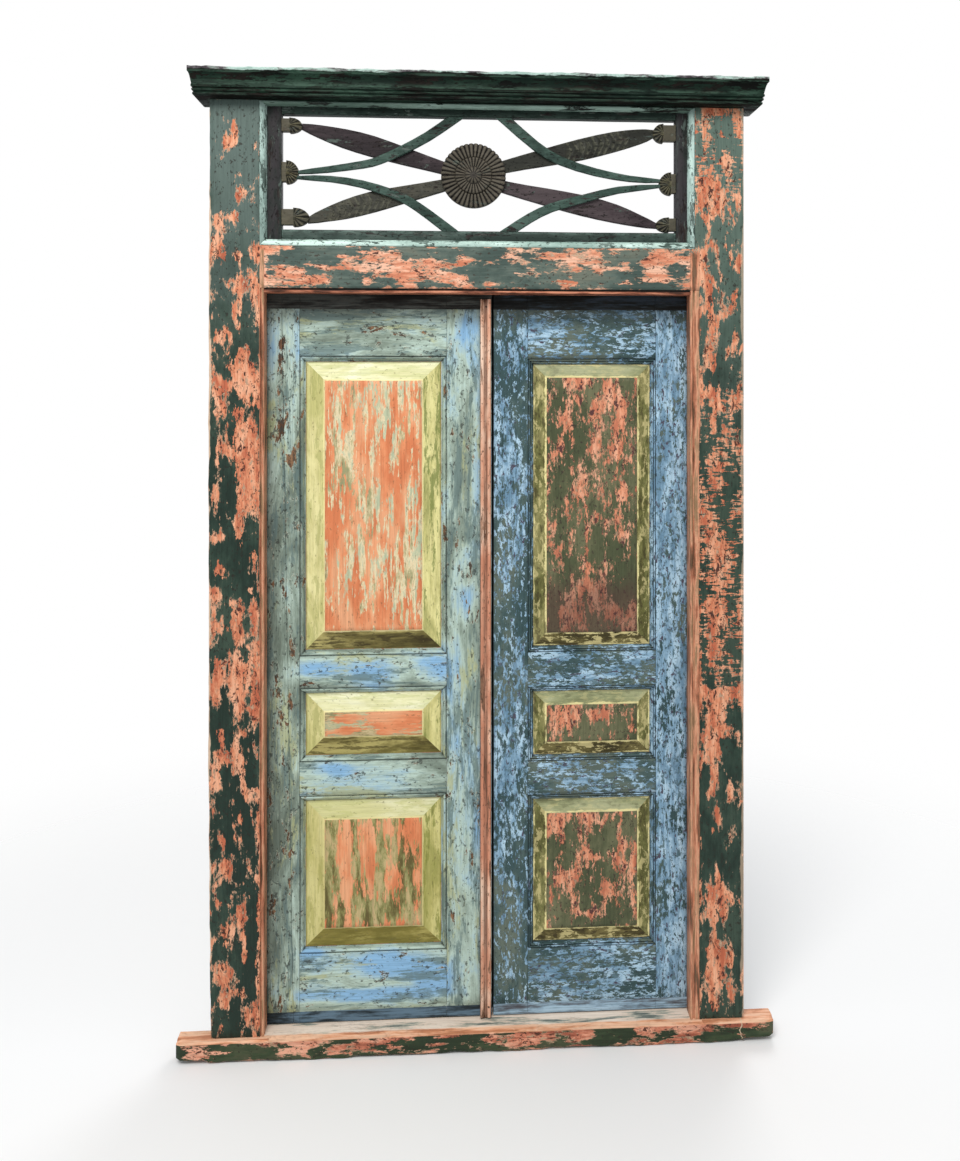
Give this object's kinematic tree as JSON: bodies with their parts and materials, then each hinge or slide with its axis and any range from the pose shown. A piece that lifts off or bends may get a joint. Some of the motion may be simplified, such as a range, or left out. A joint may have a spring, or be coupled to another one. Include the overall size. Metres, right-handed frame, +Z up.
{
  "type": "double-leaf wooden door with frame and carved transom grille",
  "caption": "Old painted wooden double door in its frame: panelled leaves that open inwards, a moulded cornice, a carved open grille over the transom and a sill with horns.",
  "frame": {"origin": "middle of the sill's underside, in the plane of the jambs' front face", "axes": "+Z up, the carved and moulded front faces -Y, +X to the right as seen from the front"},
  "size_m": [1.564, 0.1619, 2.559],
  "materials": {
    "frame_paint": "worn dark green oil paint, flaked down to salmon and cream undercoats, on teak",
    "bare_sill": "worn salmon, orange and cream paint over bare hewn teak",
    "mint_bead": "worn mint-green oil paint on teak",
    "grille_paint": "worn dark green paint on teak",
    "carved_wood": "carved teak, weathered grey-brown with traces of green paint",
    "left_leaf_paint": "worn sage green and pale blue paint over brown teak",
    "left_panel_paint": "worn coral paint with grey-green streaks, lime-yellow bevels",
    "right_leaf_paint": "worn sky-blue paint over dark teal",
    "right_panel_paint": "worn olive paint with yellow arrises and coral patches",
    "astragal_paint": "worn salmon paint on teak",
    "hinge_iron": "dark forged iron with light rust"
  },
  "bodies": {
    "frame": {"sill": "bare_sill", "left_jamb": "frame_paint", "right_jamb": "frame_paint", "head_beam": "frame_paint", "cornice": "frame_paint", "transom_rail": "frame_paint", "bead_bottom": "mint_bead", "bead_right": "mint_bead", "bead_top": "mint_bead", "bead_left": "mint_bead", "grille_stile_left": "grille_paint", "grille_stile_right": "grille_paint", "grille_rail_top": "grille_paint", "grille_rail_bottom": "grille_paint", "curved_bar_upper_left": "grille_paint", "curved_bar_lower_left": "grille_paint", "curved_bar_upper_right": "grille_paint", "curved_bar_lower_right": "grille_paint", "plain_bar": "carved_wood", "feathered_bar": "carved_wood", "rosette": "carved_wood", "boss_side_left": "carved_wood", "boss_side_right": "carved_wood", "boss_upper_left": "carved_wood", "boss_lower_left": "carved_wood", "boss_upper_right": "carved_wood", "boss_lower_right": "carved_wood", "hinge_left_1_jamb": "hinge_iron", "hinge_left_2_jamb": "hinge_iron", "hinge_left_3_jamb": "hinge_iron", "hinge_right_1_jamb": "hinge_iron", "hinge_right_2_jamb": "hinge_iron", "hinge_right_3_jamb": "hinge_iron"},
    "left_leaf": {"left_leaf_edge_board": "left_leaf_paint", "left_leaf_hinge_stile": "left_leaf_paint", "left_leaf_meeting_stile": "left_leaf_paint", "left_leaf_top_rail": "left_leaf_paint", "left_leaf_lock_rail": "left_leaf_paint", "left_leaf_low_rail": "left_leaf_paint", "left_leaf_bottom_rail": "left_leaf_paint", "left_leaf_upper_panel": "left_panel_paint", "left_leaf_middle_panel": "left_panel_paint", "left_leaf_lower_panel": "left_panel_paint", "left_leaf_astragal": "astragal_paint", "hinge_left_1_leaf": "hinge_iron", "hinge_left_2_leaf": "hinge_iron", "hinge_left_3_leaf": "hinge_iron"},
    "right_leaf": {"right_leaf_hinge_stile": "right_leaf_paint", "right_leaf_meeting_stile": "right_leaf_paint", "right_leaf_top_rail": "right_leaf_paint", "right_leaf_lock_rail": "right_leaf_paint", "right_leaf_low_rail": "right_leaf_paint", "right_leaf_bottom_rail": "right_leaf_paint", "right_leaf_upper_panel": "right_panel_paint", "right_leaf_middle_panel": "right_panel_paint", "right_leaf_lower_panel": "right_panel_paint", "hinge_right_1_leaf": "hinge_iron", "hinge_right_2_leaf": "hinge_iron", "hinge_right_3_leaf": "hinge_iron"}
  },
  "joints": [
    {"name": "left_leaf_hinge", "type": "hinge", "parent": "frame", "child": "left_leaf", "pos_m": [-0.5725, 0.1015, 1.03], "axis": [0, 0, 1], "range_deg": [0, 110]},
    {"name": "right_leaf_hinge", "type": "hinge", "parent": "frame", "child": "right_leaf", "pos_m": [0.5725, 0.1015, 1.03], "axis": [0, 0, 1], "range_deg": [-110, 0]}
  ]
}
